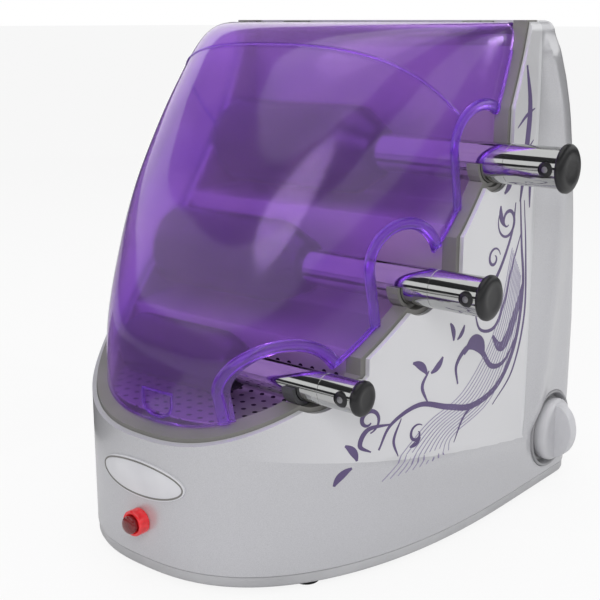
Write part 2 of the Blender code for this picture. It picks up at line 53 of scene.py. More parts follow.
middle = Vector(((shellLow.x + shellHigh.x) / 2.0, shellLow.y - noseTip * mm, 0.0))
topHeight = shellHigh.z / mm
joints = {joint["name"]: joint for joint in frame["joints"]}
beyond = {"side": 170.0, "front": -300.0, "rear": 300.0, "top": 430.0}  # where cutters end, clear of everything


def localBox(node):  # a node's corners in station mm
    low, high = (Vector(corner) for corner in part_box(node))
    return (low - middle) / mm, (high - middle) / mm


def localCentre(node):
    low, high = localBox(node)
    return (low + high) / 2.0


def jointPlace(name):  # (y, z) of a joint axis in station mm
    spot = (Vector(joints[name]["pos_m"]) - middle) / mm
    return spot.y, spot.z


# materials
def linear(hexColour):
    values = [int(hexColour[i:i + 2], 16) / 255.0 for i in (1, 3, 5)]
    return tuple(v / 12.92 if v <= 0.04045 else ((v + 0.055) / 1.055) ** 2.4 for v in values) + (1.0,)


def addNode(tree, kind, links=None, **settings):
    node = tree.nodes.new(kind)
    for key, value in settings.items():
        if key in node.inputs:
            node.inputs[key].default_value = value
        else:
            setattr(node, key, value)
    for key, source in (links or {}).items():
        tree.links.new(source, node.inputs[key])
    return node


def mathNode(tree, operation, *values):  # each value is a socket or a plain number
    node = addNode(tree, "ShaderNodeMath", operation=operation)
    for place, value in zip(node.inputs, values):
        if isinstance(value, float):
            place.default_value = value
        else:
            tree.links.new(value, place)
    return node.outputs[0]


def newMaterial(name, colour, roughness, metallic=0.0):
    material = bpy.data.materials.new(name)
    material.use_nodes = True
    shader = material.node_tree.nodes["Principled BSDF"]
    shader.inputs["Base Color"].default_value = linear(colour)
    shader.inputs["Roughness"].default_value = roughness
    shader.inputs["Metallic"].default_value = metallic
    return material, material.node_tree, shader


def placeParts(tree):  # X, Y and Z of the shaded point
    coords = addNode(tree, "ShaderNodeTexCoord")
    return addNode(tree, "ShaderNodeSeparateXYZ", {0: coords.outputs["Object"]}).outputs


def surfaceNoise(tree, sizeMm, detail, stretch=(1.0, 1.0, 1.0)):
    coords = addNode(tree, "ShaderNodeTexCoord")
    mapping = addNode(tree, "ShaderNodeMapping", {"Vector": coords.outputs["Object"]}, Scale=stretch)
    return addNode(tree, "ShaderNodeTexNoise", {"Vector": mapping.outputs["Vector"]},
                   Scale=1.0 / (sizeMm * mm), Detail=detail)


def tintBetween(tree, shader, noise, dark, light, low=0.35, high=0.65):
    ramp = addNode(tree, "ShaderNodeValToRGB", {"Fac": noise.outputs["Fac"]})
    ramp.color_ramp.elements[0].position, ramp.color_ramp.elements[0].color = low, linear(dark)
    ramp.color_ramp.elements[1].position, ramp.color_ramp.elements[1].color = high, linear(light)
    tree.links.new(ramp.outputs["Color"], shader.inputs["Base Color"])


def roughBetween(tree, shader, noise, low, high):
    spread = addNode(tree, "ShaderNodeMapRange", {"Value": noise.outputs["Fac"]})
    spread.inputs["To Min"].default_value, spread.inputs["To Max"].default_value = low, high
    tree.links.new(spread.outputs["Result"], shader.inputs["Roughness"])


def bumpFrom(tree, shader, noise, heightMm, strength):
    bump = addNode(tree, "ShaderNodeBump", {"Height": noise.outputs["Fac"]}, Strength=strength)
    bump.inputs["Distance"].default_value = heightMm * mm
    tree.links.new(bump.outputs["Normal"], shader.inputs["Normal"])


def mouldedPlastic(name, dark, light, roughness, grainMm=0.9, heightMm=0.03, strength=0.25):
    # injection moulded: faint cloudiness, fine spark-eroded grain, slightly uneven gloss
    material, tree, shader = newMaterial(name, light, roughness)
    tintBetween(tree, shader, surfaceNoise(tree, 38.0, 2.0), dark, light)
    grain = surfaceNoise(tree, grainMm, 2.0)
    roughBetween(tree, shader, grain, roughness * 0.85, roughness * 1.15)
    bumpFrom(tree, shader, grain, heightMm, strength)
    return material


def plainMetal(name, dark, light, roughness, stretch=(1.0, 1.0, 1.0)):
    # drawn or turned: grain is stretched along the direction of working
    material, tree, shader = newMaterial(name, light, roughness, 1.0)
    grain = surfaceNoise(tree, 1.2, 4.0, stretch)
    tintBetween(tree, shader, grain, dark, light)
    roughBetween(tree, shader, grain, roughness * 0.8, roughness * 1.25)
    bumpFrom(tree, shader, grain, 0.02, 0.15)
    return material


# painted light on the printed panel: a whiter colour for the light it catches, in metres: right-hand wall only, from
# its groove down to its leaning lower step
paintedPanelLight = {"colour": "#dadadd", "fadeFrom": 0.070, "fadeTo": 0.118, "groove": 0.086, "slope": 0.165, "step": 0.06786}


def pearlLacquer():
    # ABS with a pearl silver lacquer: fine mica sparkle under a clear gloss
    material, tree, shader = newMaterial("pearlLacqueredAbs", "#c6c6c9", 0.34, 0.35)
    mica = surfaceNoise(tree, 0.45, 1.0)
    tintBetween(tree, shader, mica, "#bcbcc0", "#cbcbcf", 0.3, 0.7)
    lacquer = shader.inputs["Base Color"].links[0].from_socket
    # painted light: the printed panel is painted whiter, ahead of the groove and above the leaning step, fading in
    # round the nose
    parts = placeParts(tree)
    fade = addNode(tree, "ShaderNodeMapRange", {"Value": parts["X"]})
    fade.inputs["From Min"].default_value = middle.x + paintedPanelLight["fadeFrom"]
    fade.inputs["From Max"].default_value = middle.x + paintedPanelLight["fadeTo"]
    ahead = mathNode(tree, "LESS_THAN", parts["Y"], middle.y + paintedPanelLight["groove"])
    level = mathNode(tree, "MULTIPLY_ADD", parts["Y"], paintedPanelLight["slope"], parts["Z"])
    above = mathNode(tree, "GREATER_THAN", level, paintedPanelLight["step"] + paintedPanelLight["slope"] * middle.y)
    paintedLightMask = mathNode(tree, "MULTIPLY", mathNode(tree, "MULTIPLY", ahead, above), fade.outputs["Result"])
    mix = addNode(tree, "ShaderNodeMix", {"Factor": paintedLightMask, "A": lacquer}, data_type="RGBA")
    mix.inputs["B"].default_value = linear(paintedPanelLight["colour"])
    tree.links.new(mix.outputs["Result"], shader.inputs["Base Color"])
    roughBetween(tree, shader, surfaceNoise(tree, 30.0, 2.0), 0.28, 0.36)
    bumpFrom(tree, shader, mica, 0.008, 0.12)
    shader.inputs["Coat Weight"].default_value = 0.45
    shader.inputs["Coat Roughness"].default_value = 0.12
    return material


def tintedLid():
    # injection moulded clear polycarbonate with a violet tint and a slight haze
    material, tree, shader = newMaterial("violetPolycarbonate", "#dab3f7", 0.1)
    haze = surfaceNoise(tree, 60.0, 2.0)
    tintBetween(tree, shader, haze, "#c496f0", "#cfa3f4")
    roughBetween(tree, shader, haze, 0.07, 0.12)
    bumpFrom(tree, shader, haze, 0.12, 0.05)
    shader.inputs["Transmission Weight"].default_value = 0.94
    shader.inputs["Specular IOR Level"].default_value = 0.3
    shader.inputs["IOR"].default_value = 1.45
    # lamps shine through the wall and reach the rollers, tinted as by the plastic
    path = addNode(tree, "ShaderNodeLightPath")
    clear = addNode(tree, "ShaderNodeBsdfTransparent", Color=linear("#e0c0fb"))
    mix = addNode(tree, "ShaderNodeMixShader",
                  {0: path.outputs["Is Shadow Ray"], 1: shader.outputs[0], 2: clear.outputs[0]})
    tree.links.new(mix.outputs[0], tree.nodes["Material Output"].inputs["Surface"])
    return material


def chromePlate():
    # bright nickel-chrome plating on drawn tube, with the faintest draw lines
    material, tree, shader = newMaterial("polishedChromePlate", "#bcbdbc", 0.06, 1.0)
    lines = surfaceNoise(tree, 3.0, 2.0, (0.05, 1.0, 1.0))
    roughBetween(tree, shader, lines, 0.04, 0.1)
    bumpFrom(tree, shader, lines, 0.01, 0.08)
    return material


def redLens(name, dark, light, glow):
    # translucent red acrylic, lit from inside by a neon lamp
    material, tree, shader = newMaterial(name, light, 0.22)
    cloud = surfaceNoise(tree, 5.0, 2.0)
    tintBetween(tree, shader, cloud, dark, light)
    shader.inputs["Emission Color"].default_value = linear("#ff2a2a")
    shader.inputs["Emission Strength"].default_value = glow
    shader.inputs["Coat Weight"].default_value = 0.6
    bumpFrom(tree, shader, cloud, 0.03, 0.1)
    return material


punching = {"pitchMm": 10.0, "wave": 0.84, "topM": 0.140}  # wave: how near a hole's middle it turns dark


def perforatedSheet():
    # rolled aluminium sheet, its lowest step punched with rows of round holes just under 4 mm across
    material, tree, shader = newMaterial("perforatedAluminiumSheet", "#aaa8a6", 0.4, 0.6)
    parts = placeParts(tree)
    waves = []
    for source in (parts["X"], mathNode(tree, "ADD", parts["Y"], parts["Z"])):
        scaled = mathNode(tree, "MULTIPLY", source, math.pi / (punching["pitchMm"] * mm))
        waves.append(mathNode(tree, "ABSOLUTE", mathNode(tree, "SINE", scaled)))
    hole = mathNode(tree, "GREATER_THAN", mathNode(tree, "MULTIPLY", *waves), punching["wave"])
    low = mathNode(tree, "LESS_THAN", parts["Z"], punching["topM"])
    mix = addNode(tree, "ShaderNodeMix", {"Factor": mathNode(tree, "MULTIPLY", hole, low)}, data_type="RGBA")
    mix.inputs["A"].default_value, mix.inputs["B"].default_value = linear("#b0aeac"), linear("#141414")
    tree.links.new(mix.outputs["Result"], shader.inputs["Base Color"])
    return material


finishes = {
    "holes": perforatedSheet(),
    "pearl": pearlLacquer(),
    "tray": mouldedPlastic("traySatinAbs", "#b0b0b3", "#bcbcbf", 0.38),
    "bezel": mouldedPlastic("bezelSatinAbs", "#8f8f92", "#9b9b9e", 0.4),
    "rim": mouldedPlastic("rimSatinAbs", "#747370", "#7d7b79", 0.42),
    "darkGrey": mouldedPlastic("darkGlassFilledNylon", "#3f3f42", "#4a4a4d", 0.45, 0.7, 0.05),
    "black": mouldedPlastic("blackGlossPhenolic", "#161618", "#1e1e21", 0.26, 1.0, 0.01, 0.1),
    "cap": mouldedPlastic("blackSatinNylonCap", "#141416", "#1b1b1d", 0.36, 0.6, 0.03),
    "rubber": mouldedPlastic("blackMouldedRubber", "#18181a", "#222224", 0.8, 0.6, 0.06, 0.5),
    "lid": tintedLid(),
    "chrome": chromePlate(),
    "steel": plainMetal("drawnSteel", "#8a8a8c", "#a4a4a6", 0.34, (0.1, 1.0, 1.0)),
    "brass": plainMetal("turnedBrass", "#a8853c", "#c29e52", 0.3),
    "ceramic": mouldedPlastic("pressedSteatite", "#d6d1c6", "#e2ded4", 0.6, 0.8, 0.05),
    "knob": mouldedPlastic("knobPearlAbs", "#bcbcc0", "#cacace", 0.3),
    "badge": mouldedPlastic("badgePolishedAbs", "#cfcfd4", "#dadade", 0.18, 1.0, 0.01, 0.1),
    "ink": mouldedPlastic("violetScreenInk", "#54456f", "#5f507b", 0.36, 0.5, 0.01, 0.1),
    "line": mouldedPlastic("paleVioletInk", "#8f88a6", "#9b94b0", 0.38, 0.5, 0.01, 0.1),
    "sleeve": mouldedPlastic("glassFibreSleeve", "#8a6a4a", "#9a7a58", 0.8, 0.6, 0.2, 0.6),
    "lens": redLens("redAcrylicLens", "#4a0508", "#6a0a0e", 0.03),
    "collar": redLens("redAcrylicCollar", "#9c1820", "#c02a33", 0.3),
    "lamp": redLens("neonLamp", "#c42a33", "#e04a44", 1.5),
    "card": mouldedPlastic("darkStudioCard", "#232326", "#2b2b2e", 0.6),
}
print("materials made:", len(finishes))


# modelling helpers
def addPiece(name, mesh, finish=None, body="root", stands=(), sharp=32.0):
    # turns a bmesh in station mm into a finished piece that rides on a body, or into a bare cutter
    bmesh.ops.transform(mesh, verts=mesh.verts, matrix=Matrix.Translation(middle) @ Matrix.Scale(mm, 4))
    bmesh.ops.recalc_face_normals(mesh, faces=mesh.faces)
    data = bpy.data.meshes.new(name)
    mesh.to_mesh(data)
    mesh.free()
    data.shade_smooth()
    data.set_sharp_from_angle(angle=math.radians(sharp))
    piece = bpy.data.objects.new(name, data)
    bpy.context.scene.collection.objects.link(piece)
    if finish:
        data.materials.append(finishes[finish])
        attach(piece, body)
    if stands:
        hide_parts(*stands)
    return piece


def applyAll(piece, sharp=32.0):
    bpy.context.view_layer.update()
    seen = piece.evaluated_get(bpy.context.evaluated_depsgraph_get())
    data = bpy.data.meshes.new_from_object(seen)
    piece.modifiers.clear()
    old = piece.data
    piece.data = data
    bpy.data.meshes.remove(old)
    data.shade_smooth()
    data.set_sharp_from_angle(angle=math.radians(sharp))


def carve(piece, mesh, operation="DIFFERENCE"):
    cutter = mesh if isinstance(mesh, bpy.types.Object) else addPiece("cutter", mesh)
    step = piece.modifiers.new("carve", "BOOLEAN")
    step.operation, step.solver, step.object = operation, "EXACT", cutter
    applyAll(piece)
    bpy.data.objects.remove(cutter)


def soften(piece, widthMm, segments, angle=40.0):
    bevel = piece.modifiers.new("soft edges", "BEVEL")
    bevel.width, bevel.segments, bevel.limit_method = widthMm * mm, segments, "ANGLE"
    bevel.angle_limit = math.radians(angle)
    applyAll(piece, 50.0)


def smoothLine(points, steps):  # Catmull-Rom through the points
    ends = [Vector(p) for p in points]
    ends = [ends[0] * 2 - ends[1]] + ends + [ends[-1] * 2 - ends[-2]]
    result = []
    for k in range(len(ends) - 3):
        a, b, c, d = ends[k:k + 4]
        for i in range(steps):
            t = i / steps
            result.append(0.5 * (2 * b + (c - a) * t + (2 * a - 5 * b + 4 * c - d) * t * t
                                 + (3 * b - a - 3 * c + d) * t ** 3))
    return [tuple(p) for p in result] + [tuple(ends[-2])]


def arc(centre, radii, steps, start=0.0, sweep=math.pi):  # points along a round or oval arc
    turns = [start + sweep * i / steps for i in range(steps + 1)]
    return [(centre[0] + radii[0] * math.cos(turn), centre[1] + radii[1] * math.sin(turn)) for turn in turns]


def between(table, where):  # straight interpolation in a short table of (key, value)
    if where <= table[0][0]:
        return table[0][1]
    for (a, u), (b, v) in zip(table, table[1:]):
        if where <= b:
            return u + (v - u) * (where - a) / (b - a)
    return table[-1][1]


def smoothStep(a, b, x):
    t = min(max((x - a) / (b - a), 0.0), 1.0)
    return t * t * (3.0 - 2.0 * t)


def shifted(line, distance):  # moves an open line of (y, z) to its right-hand side
    moved = []
    for i, point in enumerate(line):
        before, after = line[max(i - 1, 0)], line[min(i + 1, len(line) - 1)]
        along = Vector((after[0] - before[0], after[1] - before[1])).normalized()
        moved.append((point[0] + along.y * distance, point[1] - along.x * distance))
    return moved


def prism(points, low, high, axis="X"):
    mesh = bmesh.new()
    order = {"X": lambda a, b: (low, a, b), "Y": lambda a, b: (a, low, b), "Z": lambda a, b: (a, b, low)}[axis]
    face = mesh.faces.new([mesh.verts.new(order(a, b)) for a, b in points])
    grown = bmesh.ops.extrude_face_region(mesh, geom=[face])
    moved = [item for item in grown["geom"] if isinstance(item, bmesh.types.BMVert)]
    travel = Vector(((axis == "X"), (axis == "Y"), (axis == "Z"))) * (high - low)
    bmesh.ops.translate(mesh, verts=moved, vec=travel)
    return mesh


def across(outline):  # an outline of (y, z), carried through from wall to wall
    return prism(outline, -beyond["side"], beyond["side"])


def turned(profile, spot, steps, ring=False, axis="X"):
    # profile of (along, radius) points, turned about an axis through spot
    mesh = bmesh.new()
    points = [mesh.verts.new((along, 0.0, radius)) for along, radius in profile]
    edges = [mesh.edges.new(pair) for pair in zip(points, points[1:])]
    if ring:
        edges.append(mesh.edges.new((points[-1], points[0])))
    bmesh.ops.spin(mesh, geom=points + edges, cent=(0, 0, 0), axis=(1, 0, 0), angle=2 * math.pi,
                   steps=steps, use_merge=True)
    bmesh.ops.remove_doubles(mesh, verts=mesh.verts, dist=0.002)
    turn = {"X": Matrix.Identity(4), "Y": Matrix.Rotation(math.pi / 2.0, 4, "Z"),
            "Z": Matrix.Rotation(-math.pi / 2.0, 4, "Y")}[axis]
    bmesh.ops.transform(mesh, verts=mesh.verts, matrix=Matrix.Translation(spot) @ turn)
    return mesh


def rod(low, high, radius):  # profile of a plain cylinder
    return [(low, 0.0), (low, radius), (high, radius), (high, 0.0)]


def block(low, high):
    mesh = bmesh.new()
    bmesh.ops.create_cube(mesh, size=1.0)
    bmesh.ops.scale(mesh, vec=[b - a for a, b in zip(low, high)], verts=mesh.verts)
    bmesh.ops.translate(mesh, vec=[(a + b) / 2.0 for a, b in zip(low, high)], verts=mesh.verts)
    return mesh


def stitched(rings, closed=True):
    # one ring of edges, extruded again and again, each time moved onto the next ring;
    # closed rings get a cap at both ends, open ones only at the last
    mesh = bmesh.new()
    row = [mesh.verts.new(point) for point in rings[0]]
    edges = [mesh.edges.new(pair) for pair in zip(row, row[1:] + row[:1] if closed else row[1:])]
    if closed:
        bmesh.ops.contextual_create(mesh, geom=edges)
    for ring in rings[1:]:
        grown = bmesh.ops.extrude_edge_only(mesh, edges=edges)["geom"]
        twins = {tuple(item.co): item for item in grown if isinstance(item, bmesh.types.BMVert)}
        row = [twins[tuple(vert.co)] for vert in row]
        fresh = set(row)
        edges = [item for item in grown if isinstance(item, bmesh.types.BMEdge) and fresh.issuperset(item.verts)]
        for vert, point in zip(row, ring):
            vert.co = point
    mesh.faces.new(row)
    return mesh


def swept(route, width, height, sides, outward):
    # flattened round bead along a route of station points; outward gives each point's facing
    rings = []
    for i, point in enumerate(route):
        along = (Vector(route[min(i + 1, len(route) - 1)]) - Vector(route[max(i - 1, 0)])).normalized()
        out = outward[i].normalized()
        side = along.cross(out).normalized()
        oval = arc((0.0, 0.0), (width / 2, height / 2), sides, 0.0, 2 * math.pi)[:-1]
        rings.append([Vector(point) + side * a + out * b for a, b in oval])
    return stitched(rings)


# casing outline
casing = {
    "fullness": 2.5, "straightFrom": 80.0, "rear": 178.0, "corner": 26.0, "cornerFrom": 99.0, "leastCorner": 3.0,
    "wall": 3.0, "seam": 12.7, "frontFall": 66.0,
    "noseSteps": 110, "sideSteps": 14, "cornerSteps": 10, "rearSteps": 8,
    "grooveRows": [82.0, 83.5, 84.6, 85.3, 86.0, 86.7, 87.4, 88.5, 90.0, 92.0],
    # upper edge of the side wall (y, z)
    "rim": [(-176.0, 99.5), (-150.0, 113.5), (-126.0, 126.5), (-105.0, 140.0), (-84.0, 155.0),
            (-54.0, 178.5), (-28.0, 200.0), (-6.0, 221.0), (20.0, 254.0), (38.0, 281.0),
            (50.0, 303.0), (61.0, 331.0), (67.0, 350.0), (69.5, 360.0)],
    # back of the station by height (z, y)
    "back": [(0.0, 178.0), (130.0, 178.0), (175.0, 174.5), (215.0, 170.0), (255.0, 164.0), (290.0, 156.0),
             (318.0, 146.0), (340.0, 134.0), (352.0, 124.0), (360.0, 112.0)],
}
rimLine = smoothLine(casing["rim"], 5)

# relief of the side walls: a groove behind the panel, a ridge behind the groove, a soft leaning step below
panelShape = {
    "low": (50.0, 75.0), "high": (335.0, 352.0), "groove": 86.0, "grooveDepth": 1.1, "grooveWidth": 1.1,
    "ridge": 6.0, "ridgePower": 2.2, "ridgeTail": 30.0, "stepDepth": 2.2, "stepLine": 54.0, "stepSlope": 0.165,
    "stepFrom": (-125.0, -50.0), "stepTo": (88.0, 104.0),
    # crest of the ridge by height (z, y)
    "crest": [(20.0, 84.0), (61.0, 92.0), (90.0, 102.0), (117.0, 108.0), (155.0, 115.0), (192.0, 120.0),
              (230.0, 121.0), (270.0, 118.0), (300.0, 111.0), (319.0, 102.0), (343.0, 88.0), (360.0, 80.0)],
}


def rimHeight(y):
    return between(rimLine, y)


def fullness(t):  # share of the half width left at a share t of the way to the nose
    t = min(max(t, 0.0), 1.0)
    return (1.0 - t ** casing["fullness"]) ** (1.0 / casing["fullness"])


def nosePoint(turn, half, straightFrom, reach):  # (x, y) on a rounded nose, turn running from left to right
    power = 2.0 / casing["fullness"]
    c, s = math.cos(turn), math.sin(turn)
    return -half * math.copysign(abs(c) ** power, c), straightFrom - reach * abs(s) ** power


def panelRelief(y, z):  # how far the side wall stands proud
    shape = panelShape
    groove = shape["groove"] - 0.02 * max(z - 300.0, 0.0)
    crest = between(shape["crest"], z)
    strength = smoothStep(*shape["low"], z) * (1.0 - smoothStep(*shape["high"], z))
    rise = min(max((y - groove - 1.0) / max(crest - groove, 6.0), 0.0), 1.0)
    tail = 1.0 - smoothStep(crest, crest + shape["ridgeTail"], y) * 0.9
    relief = shape["ridge"] * strength * rise ** shape["ridgePower"] * tail
    line = shape["stepLine"] + (84.0 - y) * shape["stepSlope"]
    fade = smoothStep(*shape["stepFrom"], y) * (1.0 - smoothStep(*shape["stepTo"], y))
    below = (1.0 - smoothStep(line - 1.2, line + 1.2, z)) * smoothStep(line - 34.0, line - 3.0, z)
    relief += shape["stepDepth"] * fade * below
    return relief - shape["grooveDepth"] * strength * math.exp(-((y - groove) / shape["grooveWidth"]) ** 2)


def wallX(y, z):  # outer face of the side wall
    return halfWidth * fullness((casing["straightFrom"] - y) / (casing["straightFrom"] - noseTip)) + panelRelief(y, z)


def casingRing(z, inset, relief=True):
    steps, half, straight = casing["noseSteps"], halfWidth - inset, casing["straightFrom"]
    rear = between(casing["back"], z) - inset
    radius = max(min(casing["corner"], rear + inset - casing["cornerFrom"]) - inset, casing["leastCorner"])
    ring = [nosePoint(math.pi * i / steps, half, straight, straight - noseTip - inset) for i in range(steps + 1)]
    rows, count, last = casing["grooveRows"], casing["sideSteps"], rear - radius
    edge = [(half, y) for y in rows]
    edge += [(half, rows[-1] + (last - rows[-1]) * (i + 1) / count) for i in range(count)]
    edge += arc((half - radius, last), (radius, radius), casing["cornerSteps"], 0.0, math.pi / 2)[1:]
    count = casing["rearSteps"]
    ring += edge + [((half - radius) * k / count, rear) for k in range(count - 1, -count, -1)]
    ring += [(-x, y) for x, y in reversed(edge)]
    if relief:
        ring = [(x + math.copysign(panelRelief(y, z) * smoothStep(60.0, 120.0, abs(x)), x), y) for x, y in ring]
    return [(x, y, z) for x, y in ring]


def planRing(inset, z):  # the plan low down, drawn in by inset and set at height z
    return [(x, y, z) for x, y, low in casingRing(60.0, inset, False)]


def planSolid(inset, low=0.0, high=beyond["top"]):
    return stitched([planRing(inset, low), planRing(inset, high)])


rollerSpecs = {}
for key, notch, riser, full, scallop in (("top", 17.0, 48.0, 17.0, (33.0, 274.0, 27.0)),
                                         ("middle", 16.0, -6.0, 3.0, (-42.0, 203.0, 25.5)),
                                         ("bottom", 14.0, -87.0, 16.0, (-123.0, 132.0, 27.0))):
    tubeLow, tubeHigh = localBox("handle_tube_" + key)
    barrelLow, barrelHigh = localBox("roller_barrel_" + key)
    capLow, capHigh = localBox("end_cap_" + key)
    rollerSpecs[key] = {
        "axis": jointPlace("roller_%s_spin" % key), "notch": notch, "riser": riser, "full": full,
        "scallop": scallop,  # (y, z, radius) of the lid's arch over the handle
        "tube": (tubeHigh.z - tubeLow.z) / 2.0, "end": tubeHigh.x,
        "barrel": (barrelHigh.z - barrelLow.z) / 2.0, "barrelEnds": (barrelLow.x, barrelHigh.x),
        "cap": (capHigh.z - capLow.z) / 2.0, "face": capHigh.x,
        "notchFrom": localBox("handle_cradle_" + key)[0].x - 22.0}


def notchSolid(key, grow):  # U-shaped gap that a handle drops into, open at the top
    spec = rollerSpecs[key]
    y, z = spec["axis"]
    radius = spec["notch"] + grow
    points = arc((y, z), (radius, radius), 32, math.pi)
    riser = max(spec["riser"] + grow, y + radius)
    if riser > y + radius + 0.5:
        points += [(riser - 2.0, z), (riser, z + 2.0)]
    return prism(points + [(riser, z + 70.0), (y - radius, z + 70.0)], spec["notchFrom"], 200.0)


housingShape = {
    "heights": [casing["seam"], 16.0, 22.0] + [28.0 + 4.0 * i for i in range(82)],
    "topRound": [(353.5, 0.0), (356.0, 0.6), (358.0, 1.8), (359.3, 3.6), (360.0, 6.5)],  # (z, inset)
    "innerHeights": (0.0, 100.0, 180.0, 240.0, 300.0, 330.0, 350.0, 357.0),
    "belowRim": 3.2, "topOpening": (60.0, 84.5, 330.0), "knobHole": 31.0, "buttonHole": 7.6, "coverGap": 0.3,
}


def makeHousing():
    shape, wall, gap = housingShape, casing["wall"], housingShape["coverGap"]
    outer = [casingRing(z, 0.0) for z in shape["heights"]] + [casingRing(z, i) for z, i in shape["topRound"]]
    housing = addPiece("housingSkin", stitched(outer), "pearl", "root", ["housing_shell"])
    carve(housing, stitched([casingRing(z, wall, False) for z in shape["innerHeights"]]))
    edge = shifted(rimLine, shape["belowRim"])
    front = [(beyond["front"], edge[0][1] - casing["frontFall"])] + edge[:-1]
    carve(housing, across(front + [(edge[-2][0], beyond["top"]), (beyond["front"], beyond["top"])]))
    ahead, behind, bottom = shape["topOpening"]
    carve(housing, block((-halfWidth + wall, ahead, bottom), (halfWidth - wall, behind, beyond["top"])))
    for key in rollerSpecs:
        carve(housing, notchSolid(key, shape["belowRim"]))
    carve(housing, turned(rod(120.0, 160.0, shape["knobHole"]), (0.0, *jointPlace("knob_turn")), 72))
    centre = localCentre("button_collar")
    carve(housing, turned(rod(-200.0, -150.0, shape["buttonHole"]), (centre.x, 0.0, centre.z), 48, axis="Y"))
    low, high = localBox("rear_cover")
    carve(housing, block((low.x - gap, 150.0, low.z - gap), (high.x + gap, 200.0, high.z + gap)))


trayShape = {
    "inset": 0.6, "wall": 4.0, "floor": 2.6, "cavityTop": 40.0, "screwHole": 2.4,
    "slotRows": 6, "firstSlot": -67.0, "slotPitch": 18.0, "slotEnd": 51.0, "slotRadius": 3.0,
    "padEdge": [(0.0, 2.8), (0.0, 7.4), (0.25, 8.3), (0.9, 9.0)],  # (height, radius), as the screw's
    "screw": [(0.6, 0.0), (0.7, 1.4), (1.1, 2.1), (1.5, 2.2), (2.3, 2.2), (2.3, 1.6), (13.0, 1.6), (13.0, 0.0)],
    "crossSlot": (1.5, 0.35, 1.3),
}


def makeTray():
    shape, inset = trayShape, trayShape["inset"]
    low, high = localBox("base_tray")
    levels = [(low.z, 2.6), (low.z + 0.8, 1.3), (low.z + 2.2, inset), (high.z - 0.9, inset),
              (high.z - 0.2, inset + 0.7)]
    tray = addPiece("trayShell", stitched([planRing(i, z) for z, i in levels]), "tray", "root", ["base_tray"])
    carve(tray, planSolid(shape["wall"], low.z + shape["floor"], shape["cavityTop"]))
    end, radii = shape["slotEnd"], (shape["slotRadius"], shape["slotRadius"])
    for row in range(shape["slotRows"]):  # air slots, round at the right end and hollow at the left
        y = shape["firstSlot"] + shape["slotPitch"] * row
        slot = arc((end, y), radii, 8, -math.pi / 2) + arc((-end, y), radii, 8, math.pi / 2, -math.pi)
        carve(tray, prism(slot, 0.0, 20.0, "Z"))
    for name in ("front_left", "front_right", "rear_left", "rear_right"):
        top, centre = localBox("foot_" + name)[1].z, localCentre("foot_" + name)
        spot = (centre.x, centre.y, 0.0)
        carve(tray, turned(rod(0.0, 12.0, shape["screwHole"]), spot, 24, axis="Z"))
        pad = shape["padEdge"] + [(top, 9.0), (top, 2.0), (2.6, 2.0), (2.6, 2.8)]
        addPiece("footPad_" + name, turned(pad, spot, 48, True, "Z"), "rubber", "root", ["foot_" + name])
        head = turned(shape["screw"], spot, 32, False, "Z")
        screw = addPiece("footScrew_" + name, head, "steel", "root", ["foot_screw_" + name])
        x, y, z = shape["crossSlot"]
        for turn in (0.0, math.pi / 2):
            arm = block((-x, -y, 0.0), (x, y, z))
            move = Matrix.Translation(spot) @ Matrix.Rotation(turn, 4, "Z")
            bmesh.ops.transform(arm, verts=arm.verts, matrix=move)
            carve(screw, arm)


# grey chamber liner: its flange is the rim band seen round the lid, its basin holds the rollers (y, z)
rimShape = {
    "bandDepth": 3.0, "bandEnd": (68.9, topHeight - 2.5), "basinInset": 3.3, "hollowInset": 14.0,
    "basinTop": [(70.0, topHeight), (84.0, topHeight)],
    "basinFloor": [(84.0, 178.0), (-12.0, 118.0), (-90.0, 82.0), (-200.0, 82.0)],
    "hollowFloor": [(81.0, 179.8), (-13.0, 121.2), (-91.0, 85.0)],
}


def makeRim():
    shape = rimShape
    low = shifted(rimLine, shape["bandDepth"])
    rim = addPiece("chamberRim", planSolid(0.0), "rim", "root", ["chamber_liner"])
    carve(rim, across(rimLine[:-1] + [shape["bandEnd"]] + low[-2::-1]), "INTERSECT")
    inner = shifted(rimLine, 1.0)
    basin = addPiece("basin", planSolid(shape["basinInset"]))
    carve(basin, across([(-200.0, inner[0][1])] + inner[:-1] + shape["basinTop"] + shape["basinFloor"]), "INTERSECT")
    carve(rim, basin, "UNION")
    hollow = addPiece("hollow", planSolid(shape["hollowInset"]))
    front, top, (rear, bottom) = beyond["front"], beyond["top"], (81.0, 85.0)
    carve(hollow, across([(front, bottom), (front, top), (rear, top)] + shape["hollowFloor"]), "INTERSECT")
    carve(rim, hollow)
    for key in rollerSpecs:
        carve(rim, notchSolid(key, 0.0))
    carve(rim, block((-121.0, 60.0, 350.5), (121.0, 100.0, beyond["top"])))


print("casing")
makeHousing()
makeTray()
makeRim()

# lid: a bubble whose plan leans back ring by ring and closes into a flat top
lidShape = {
    "front": [(90.0, -164.5), (115.0, -164.5), (150.0, -162.5), (175.0, -157.0), (200.0, -148.5),
              (225.0, -138.5), (250.0, -125.5), (275.0, -108.5), (300.0, -89.0), (320.0, -70.5),
              (335.0, -55.0), (346.0, -40.0), (353.0, -27.0), (357.0, -14.0), (358.5, 0.0)],  # (z, y)
    "inset": 10.5, "halfTop": 118.0, "shoulder": 345.0, "straightFrom": 74.0, "backEdge": 77.0, "steps": 110,
    "wall": 2.4, "overRim": 0.45, "bead": 8.0, "beadProud": 2.4, "beadsEnd": 66.0,
    "edgeBead": (3.8, 2.6), "edgeRise": 2.4, "creaseBead": (2.6, 1.5), "crease": (0.667, 0.745, 227.8),
    "gripAt": (5.0, 119.0), "gripRadii": (13.0, 9.0), "gripTop": 127.0,
}
lidFrontLine = smoothLine(lidShape["front"], 5)


